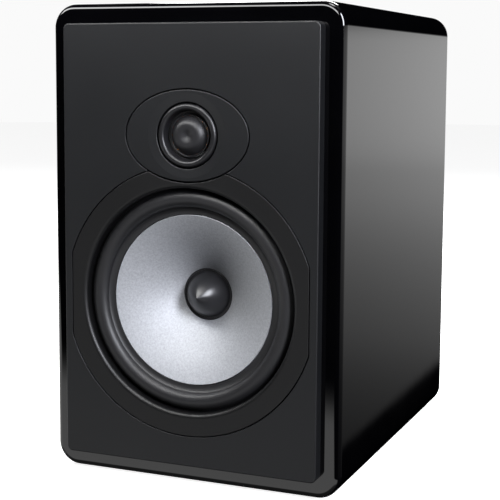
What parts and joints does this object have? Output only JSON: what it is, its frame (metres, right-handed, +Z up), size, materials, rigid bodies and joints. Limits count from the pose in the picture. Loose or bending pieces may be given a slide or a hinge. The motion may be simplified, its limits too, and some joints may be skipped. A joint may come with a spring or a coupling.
{
  "type": "bookshelf speaker",
  "caption": "Two-way bookshelf loudspeaker: gloss black cabinet with rounded edges, proud satin face plate, silver-coned woofer, dome tweeter in an oval plate, rear port and binding posts.",
  "frame": {"origin": "centre of the object's box, on the surface that its four rubber feet stand on", "axes": "+Z up; the drivers face -Y and the terminals +Y; +X is to the right of someone facing the front"},
  "size_m": [0.21, 0.274, 0.323],
  "materials": {
    "gloss_lacquer": "black high-gloss lacquer on fibreboard",
    "fibreboard": "raw medium-density fibreboard",
    "rear_finish": "black textured paint on fibreboard",
    "satin_plastic": "satin moulded black-grey plastic",
    "dark_plastic": "satin moulded plastic",
    "black_plastic": "fine-textured moulded plastic",
    "rubber": "moulded butyl rubber",
    "silver_cone": "silver-grey grained moulded cone",
    "soft_dome": "coated cloth dome",
    "cast_metal": "black painted metal",
    "steel": "plated steel",
    "ferrite": "sintered ferrite",
    "copper": "enamelled copper",
    "gilt": "gold-plated brass",
    "spider_cloth": "resin-treated cloth",
    "wadding": "white polyester wadding",
    "hardboard": "hardboard",
    "red_plastic": "red moulded plastic",
    "grey_ceramic": "cement-filled ceramic",
    "wire_jacket": "flexible plastic jacket"
  },
  "bodies": {
    "cabinet": {"cabinet_top": "gloss_lacquer", "cabinet_right_side": "gloss_lacquer", "cabinet_bottom": "gloss_lacquer", "cabinet_left_side": "gloss_lacquer", "front_baffle": "fibreboard", "rear_panel": "rear_finish", "foot_front_left": "rubber", "foot_front_right": "rubber", "foot_rear_left": "rubber", "foot_rear_right": "rubber", "woofer_surround": "rubber", "damping_pad_left": "wadding", "damping_pad_right": "wadding", "damping_pad_top": "wadding", "face_plate": "satin_plastic", "tweeter_faceplate": "satin_plastic", "tweeter_lip_ring": "satin_plastic", "woofer_trim_ring": "dark_plastic", "woofer_basket": "cast_metal", "woofer_spider": "spider_cloth", "crossover_coil_woofer": "copper", "crossover_coil_tweeter": "copper", "woofer_top_plate": "steel", "woofer_yoke": "steel", "tweeter_top_plate": "steel", "tweeter_yoke": "steel", "woofer_magnet": "ferrite", "tweeter_magnet": "ferrite", "woofer_terminal_strip": "grey_ceramic", "crossover_resistor_woofer": "grey_ceramic", "crossover_resistor_tweeter": "grey_ceramic", "tweeter_chassis": "black_plastic", "tweeter_rear_chamber": "black_plastic", "port_flange": "black_plastic", "port_tube": "black_plastic", "terminal_cup": "black_plastic", "post_collar_black": "black_plastic", "crossover_capacitor_woofer": "black_plastic", "post_stud_red": "gilt", "post_stud_black": "gilt", "post_nut_red": "gilt", "post_nut_black": "gilt", "post_collar_red": "red_plastic", "crossover_capacitor_tweeter": "red_plastic", "crossover_board": "hardboard", "lead_woofer": "wire_jacket", "lead_tweeter": "wire_jacket", "lead_input": "wire_jacket"},
    "cone": {"woofer_cone": "silver_cone", "woofer_dust_cap": "dark_plastic", "woofer_voice_coil": "copper", "woofer_tinsel_lead_left": "copper", "woofer_tinsel_lead_right": "copper"},
    "dome": {"tweeter_dome": "soft_dome", "tweeter_voice_coil": "copper"},
    "red_washer": {"post_washer_red": "gilt"},
    "red_knob": {"post_knob_red": "red_plastic"},
    "black_washer": {"post_washer_black": "gilt"},
    "black_knob": {"post_knob_black": "black_plastic"}
  },
  "joints": [
    {"name": "cone_travel", "type": "slide", "parent": "cabinet", "child": "cone", "axis": [0, -1, 0], "range_m": [-0.005, 0.005], "stiffness_N_per_m": 1000},
    {"name": "dome_travel", "type": "slide", "parent": "cabinet", "child": "dome", "axis": [0, -1, 0], "range_m": [-0.0005, 0.0005], "stiffness_N_per_m": 3000},
    {"name": "red_clamp_travel", "type": "slide", "parent": "cabinet", "child": "red_washer", "axis": [0, 1, 0], "range_m": [0, 0.005]},
    {"name": "red_knob_turn", "type": "hinge", "parent": "red_washer", "child": "red_knob", "pos_m": [0.0095, 0.124, 0.074], "axis": [0, 1, 0], "range_deg": [0, 1800]},
    {"name": "black_clamp_travel", "type": "slide", "parent": "cabinet", "child": "black_washer", "axis": [0, 1, 0], "range_m": [0, 0.005]},
    {"name": "black_knob_turn", "type": "hinge", "parent": "black_washer", "child": "black_knob", "pos_m": [-0.0095, 0.124, 0.074], "axis": [0, 1, 0], "range_deg": [0, 1800]}
  ],
  "couplings": [
    {"joint": "red_knob_turn", "follows": "red_clamp_travel", "rad_per_m": 6283.2},
    {"joint": "black_knob_turn", "follows": "black_clamp_travel", "rad_per_m": 6283.2}
  ]
}
